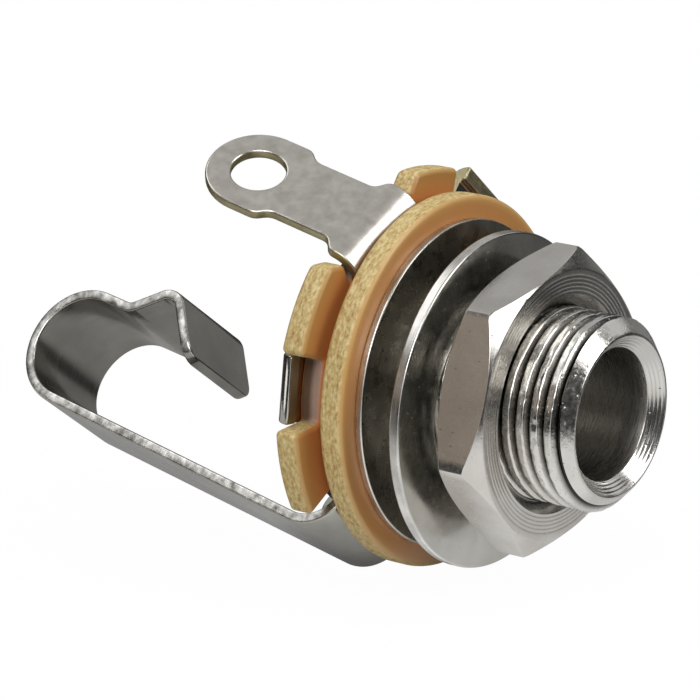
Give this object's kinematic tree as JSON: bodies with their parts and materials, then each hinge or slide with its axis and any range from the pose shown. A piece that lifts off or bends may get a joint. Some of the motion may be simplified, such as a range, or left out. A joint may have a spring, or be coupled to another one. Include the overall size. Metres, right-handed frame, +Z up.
{
  "type": "mono jack socket",
  "caption": "Open-frame 6.35 mm mono jack socket: threaded bushing with nut and washer, insulating discs, curled tip spring and solder lugs.",
  "frame": {"origin": "centre of the bushing flange's front face, where the panel seats, on the plug's axis", "axes": "-Y points out of the mouth, +Z is up as the picture shows it, +X is to the right seen from the mouth"},
  "size_m": [0.0206, 0.0334, 0.0219],
  "materials": {
    "nickel_bushing": "turned brass, nickel plated, bright",
    "nickel_washer": "stamped brass, nickel plated, mirror bright",
    "nickel_nut": "turned hexagon brass, nickel plated, satin flats",
    "nickel_contact": "stamped spring brass, nickel plated, satin",
    "nickel_terminal": "stamped brass, nickel plated, satin",
    "phenolic_front": "phenolic paper laminate, satin faces and pale cut edges",
    "phenolic_rear": "phenolic paper laminate, satin faces and pale cut edges",
    "fibre_tube": "rolled paper tube, matt"
  },
  "bodies": {
    "socket": {"bushing": "nickel_bushing", "front_insulator": "phenolic_front", "tip_contact": "nickel_contact", "tip_spring": "nickel_contact", "spacer_tube": "fibre_tube", "rear_insulator": "phenolic_rear", "sleeve_terminal": "nickel_terminal"},
    "washer": {"flat_washer": "nickel_washer"},
    "nut": {"hex_nut": "nickel_nut"}
  },
  "joints": [
    {"name": "washer_slide", "type": "slide", "parent": "socket", "child": "washer", "axis": [0, 1, 0], "range_m": [-0.0034, 0.00166]},
    {"name": "nut_turn", "type": "hinge", "parent": "washer", "child": "nut", "pos_m": [0, 0, 0], "axis": [0, 1, 0], "range_deg": [-1530, 748]}
  ],
  "couplings": [
    {"joint": "washer_slide", "follows": "nut_turn", "m_per_rad": 0.00012633}
  ]
}
